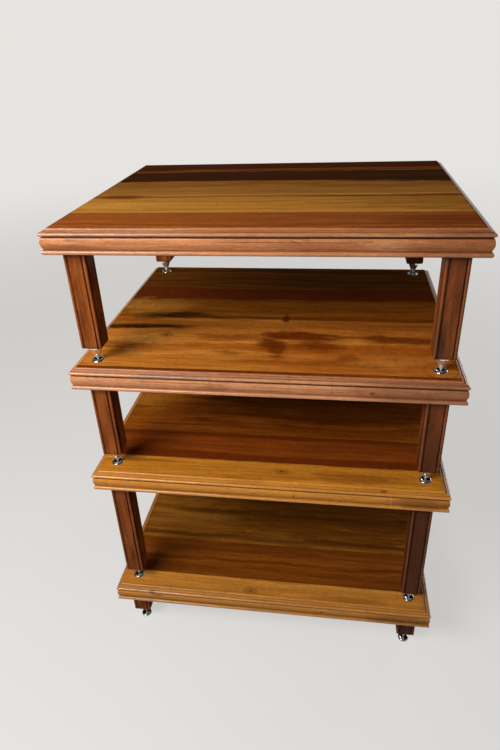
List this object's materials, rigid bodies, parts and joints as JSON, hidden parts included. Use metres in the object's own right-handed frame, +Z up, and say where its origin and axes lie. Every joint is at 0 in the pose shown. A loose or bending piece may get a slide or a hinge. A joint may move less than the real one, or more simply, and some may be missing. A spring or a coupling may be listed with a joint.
{
  "type": "audio equipment rack",
  "caption": "Stacking audio equipment rack in solid timber: shelves with moulded edges on beaded square legs, whose cone spikes stand in dished metal shoes.",
  "frame": {"origin": "on the floor, under the middle of the shelves", "axes": "+Z up, front of the rack towards -Y, +X along the shelves' width"},
  "size_m": [0.6, 0.486, 0.8245],
  "materials": {
    "shelf_wood": "satin gloss clear finish on edge-glued red-brown and golden boards",
    "leg_wood": "satin gloss clear finish on red-brown timber",
    "spike_metal": "polished",
    "shoe_metal": "polished"
  },
  "bodies": {
    "base_tier": {"shelf_base": "shelf_wood", "leg_base_front_left": "leg_wood", "leg_base_front_right": "leg_wood", "leg_base_rear_left": "leg_wood", "leg_base_rear_right": "leg_wood", "shoe_floor_front_left": "shoe_metal", "shoe_floor_front_right": "shoe_metal", "shoe_floor_rear_left": "shoe_metal", "shoe_floor_rear_right": "shoe_metal", "shoe_base_front_left": "shoe_metal", "shoe_base_front_right": "shoe_metal", "shoe_base_rear_left": "shoe_metal", "shoe_base_rear_right": "shoe_metal"},
    "lower_tier": {"shelf_lower": "shelf_wood", "leg_lower_front_left": "leg_wood", "leg_lower_front_right": "leg_wood", "leg_lower_rear_left": "leg_wood", "leg_lower_rear_right": "leg_wood", "shoe_lower_front_left": "shoe_metal", "shoe_lower_front_right": "shoe_metal", "shoe_lower_rear_left": "shoe_metal", "shoe_lower_rear_right": "shoe_metal"},
    "upper_tier": {"shelf_upper": "shelf_wood", "leg_upper_front_left": "leg_wood", "leg_upper_front_right": "leg_wood", "leg_upper_rear_left": "leg_wood", "leg_upper_rear_right": "leg_wood", "shoe_upper_front_left": "shoe_metal", "shoe_upper_front_right": "shoe_metal", "shoe_upper_rear_left": "shoe_metal", "shoe_upper_rear_right": "shoe_metal"},
    "top_tier": {"shelf_top": "shelf_wood", "leg_top_front_left": "leg_wood", "leg_top_front_right": "leg_wood", "leg_top_rear_left": "leg_wood", "leg_top_rear_right": "leg_wood"},
    "spike_base_front_left": {"spike_base_front_left": "spike_metal"},
    "spike_base_front_right": {"spike_base_front_right": "spike_metal"},
    "spike_base_rear_left": {"spike_base_rear_left": "spike_metal"},
    "spike_base_rear_right": {"spike_base_rear_right": "spike_metal"},
    "spike_lower_front_left": {"spike_lower_front_left": "spike_metal"},
    "spike_lower_front_right": {"spike_lower_front_right": "spike_metal"},
    "spike_lower_rear_left": {"spike_lower_rear_left": "spike_metal"},
    "spike_lower_rear_right": {"spike_lower_rear_right": "spike_metal"},
    "spike_upper_front_left": {"spike_upper_front_left": "spike_metal"},
    "spike_upper_front_right": {"spike_upper_front_right": "spike_metal"},
    "spike_upper_rear_left": {"spike_upper_rear_left": "spike_metal"},
    "spike_upper_rear_right": {"spike_upper_rear_right": "spike_metal"},
    "spike_top_front_left": {"spike_top_front_left": "spike_metal"},
    "spike_top_front_right": {"spike_top_front_right": "spike_metal"},
    "spike_top_rear_left": {"spike_top_rear_left": "spike_metal"},
    "spike_top_rear_right": {"spike_top_rear_right": "spike_metal"}
  },
  "joints": [
    {"name": "lower_tier_lift", "type": "slide", "parent": "base_tier", "child": "lower_tier", "axis": [0, 0, 1], "range_m": [0, 0.12]},
    {"name": "upper_tier_lift", "type": "slide", "parent": "lower_tier", "child": "upper_tier", "axis": [0, 0, 1], "range_m": [0, 0.12]},
    {"name": "top_tier_lift", "type": "slide", "parent": "upper_tier", "child": "top_tier", "axis": [0, 0, 1], "range_m": [0, 0.12]},
    {"name": "spike_base_front_left_screw", "type": "hinge", "parent": "base_tier", "child": "spike_base_front_left", "pos_m": [-0.263, -0.206, 0.0285], "axis": [0, 0, -1], "range_deg": [0, 1080]},
    {"name": "spike_base_front_right_screw", "type": "hinge", "parent": "base_tier", "child": "spike_base_front_right", "pos_m": [0.263, -0.206, 0.0285], "axis": [0, 0, -1], "range_deg": [0, 1080]},
    {"name": "spike_base_rear_left_screw", "type": "hinge", "parent": "base_tier", "child": "spike_base_rear_left", "pos_m": [-0.263, 0.206, 0.0285], "axis": [0, 0, -1], "range_deg": [0, 1080]},
    {"name": "spike_base_rear_right_screw", "type": "hinge", "parent": "base_tier", "child": "spike_base_rear_right", "pos_m": [0.263, 0.206, 0.0285], "axis": [0, 0, -1], "range_deg": [0, 1080]},
    {"name": "spike_lower_front_left_screw", "type": "hinge", "parent": "lower_tier", "child": "spike_lower_front_left", "pos_m": [-0.263, -0.206, 0.144], "axis": [0, 0, -1], "range_deg": [0, 1080]},
    {"name": "spike_lower_front_right_screw", "type": "hinge", "parent": "lower_tier", "child": "spike_lower_front_right", "pos_m": [0.263, -0.206, 0.144], "axis": [0, 0, -1], "range_deg": [0, 1080]},
    {"name": "spike_lower_rear_left_screw", "type": "hinge", "parent": "lower_tier", "child": "spike_lower_rear_left", "pos_m": [-0.263, 0.206, 0.144], "axis": [0, 0, -1], "range_deg": [0, 1080]},
    {"name": "spike_lower_rear_right_screw", "type": "hinge", "parent": "lower_tier", "child": "spike_lower_rear_right", "pos_m": [0.263, 0.206, 0.144], "axis": [0, 0, -1], "range_deg": [0, 1080]},
    {"name": "spike_upper_front_left_screw", "type": "hinge", "parent": "upper_tier", "child": "spike_upper_front_left", "pos_m": [-0.263, -0.206, 0.4275], "axis": [0, 0, -1], "range_deg": [0, 1080]},
    {"name": "spike_upper_front_right_screw", "type": "hinge", "parent": "upper_tier", "child": "spike_upper_front_right", "pos_m": [0.263, -0.206, 0.4275], "axis": [0, 0, -1], "range_deg": [0, 1080]},
    {"name": "spike_upper_rear_left_screw", "type": "hinge", "parent": "upper_tier", "child": "spike_upper_rear_left", "pos_m": [-0.263, 0.206, 0.4275], "axis": [0, 0, -1], "range_deg": [0, 1080]},
    {"name": "spike_upper_rear_right_screw", "type": "hinge", "parent": "upper_tier", "child": "spike_upper_rear_right", "pos_m": [0.263, 0.206, 0.4275], "axis": [0, 0, -1], "range_deg": [0, 1080]},
    {"name": "spike_top_front_left_screw", "type": "hinge", "parent": "top_tier", "child": "spike_top_front_left", "pos_m": [-0.263, -0.206, 0.632], "axis": [0, 0, -1], "range_deg": [0, 1080]},
    {"name": "spike_top_front_right_screw", "type": "hinge", "parent": "top_tier", "child": "spike_top_front_right", "pos_m": [0.263, -0.206, 0.632], "axis": [0, 0, -1], "range_deg": [0, 1080]},
    {"name": "spike_top_rear_left_screw", "type": "hinge", "parent": "top_tier", "child": "spike_top_rear_left", "pos_m": [-0.263, 0.206, 0.632], "axis": [0, 0, -1], "range_deg": [0, 1080]},
    {"name": "spike_top_rear_right_screw", "type": "hinge", "parent": "top_tier", "child": "spike_top_rear_right", "pos_m": [0.263, 0.206, 0.632], "axis": [0, 0, -1], "range_deg": [0, 1080]}
  ]
}
